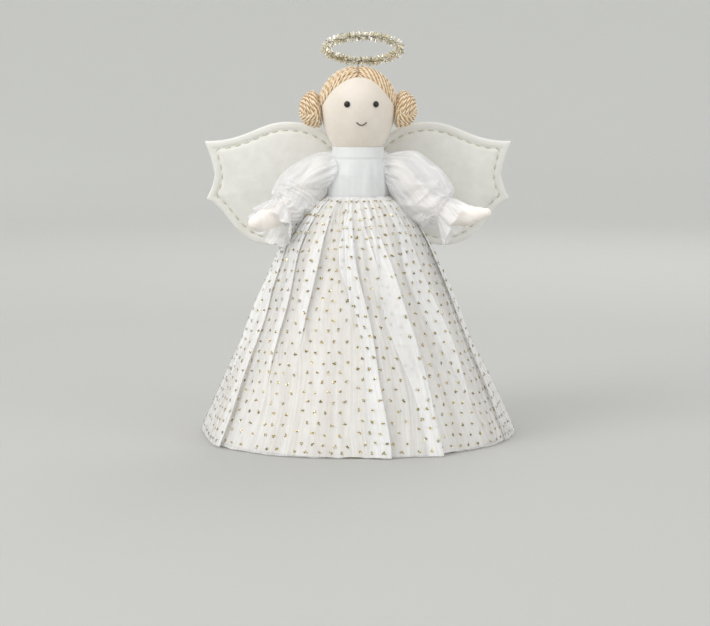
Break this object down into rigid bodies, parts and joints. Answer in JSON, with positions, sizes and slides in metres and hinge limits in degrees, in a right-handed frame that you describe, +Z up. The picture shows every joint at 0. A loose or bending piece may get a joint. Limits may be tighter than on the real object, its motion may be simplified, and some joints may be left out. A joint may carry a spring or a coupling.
{
  "type": "angel tree topper",
  "caption": "Cloth angel doll with wound yarn buns, puff sleeves, padded felt wings and a tinsel halo over a gathered dotted skirt, on a hollow cone that slips over a tree's top.",
  "frame": {"origin": "centre of the cone's mouth, on the surface it stands on", "axes": "+Z up along the cone's axis, the face looks along -Y, +X to the right as seen from the front"},
  "size_m": [0.2678, 0.2672, 0.3418],
  "materials": {
    "card": "plain card",
    "wood": "bare dowel",
    "satin": "white satin",
    "lining": "cream lining",
    "tulle": "sheer white tulle",
    "stuffing": "fibre filling",
    "skin_cloth": "cream cotton",
    "dark_thread": "embroidery thread",
    "brown_thread": "sewing thread",
    "yarn": "golden twisted yarn",
    "tinsel": "metallised champagne film",
    "wire": "soft annealed wire",
    "elastic": "covered elastic",
    "felt": "off-white felt"
  },
  "bodies": {
    "doll": {"cone_former": "card", "neck_dowel": "wood", "bodice": "satin", "torso_filling": "stuffing", "shoulder_wire": "wire", "underskirt": "lining", "overskirt": "tulle", "head_cover": "skin_cloth", "head_filling": "stuffing", "left_eye": "dark_thread", "right_eye": "dark_thread", "mouth_stitch": "dark_thread", "left_hair": "yarn", "right_hair": "yarn", "parting_seam": "brown_thread", "left_bun": "yarn", "right_bun": "yarn", "halo_anchor_wire": "wire", "wing_yoke": "felt"},
    "left_arm_body": {"left_arm": "skin_cloth", "left_arm_wire": "wire", "left_sleeve": "tulle", "left_cuff_elastic": "elastic"},
    "right_arm_body": {"right_arm": "skin_cloth", "right_arm_wire": "wire", "right_sleeve": "tulle", "right_cuff_elastic": "elastic"},
    "left_wing_body": {"left_wing_front": "felt", "left_wing_back": "felt", "left_wing_wadding": "stuffing"},
    "right_wing_body": {"right_wing_front": "felt", "right_wing_back": "felt", "right_wing_wadding": "stuffing"},
    "halo_body": {"halo_stem": "wire", "halo_ring": "tinsel"}
  },
  "joints": [
    {"name": "left_shoulder", "type": "hinge", "parent": "doll", "child": "left_arm_body", "pos_m": [-0.033, 0, 0.229], "axis": [0, 1, 0], "range_deg": [-5, 40], "deforming": ["left_sleeve"]},
    {"name": "right_shoulder", "type": "hinge", "parent": "doll", "child": "right_arm_body", "pos_m": [0.033, 0, 0.229], "axis": [0, -1, 0], "range_deg": [-5, 40], "deforming": ["right_sleeve"]},
    {"name": "left_wing_fold", "type": "hinge", "parent": "doll", "child": "left_wing_body", "pos_m": [-0.0104, 0.03098, 0.225], "axis": [0, 0.1908, -0.9816], "range_deg": [0, 35]},
    {"name": "right_wing_fold", "type": "hinge", "parent": "doll", "child": "right_wing_body", "pos_m": [0.0104, 0.03098, 0.225], "axis": [0, -0.1908, 0.9816], "range_deg": [0, 35]},
    {"name": "halo_bend", "type": "hinge", "parent": "doll", "child": "halo_body", "pos_m": [0.004, 0.02931, 0.30244], "axis": [1, 0, 0], "range_deg": [-25, 12]}
  ]
}
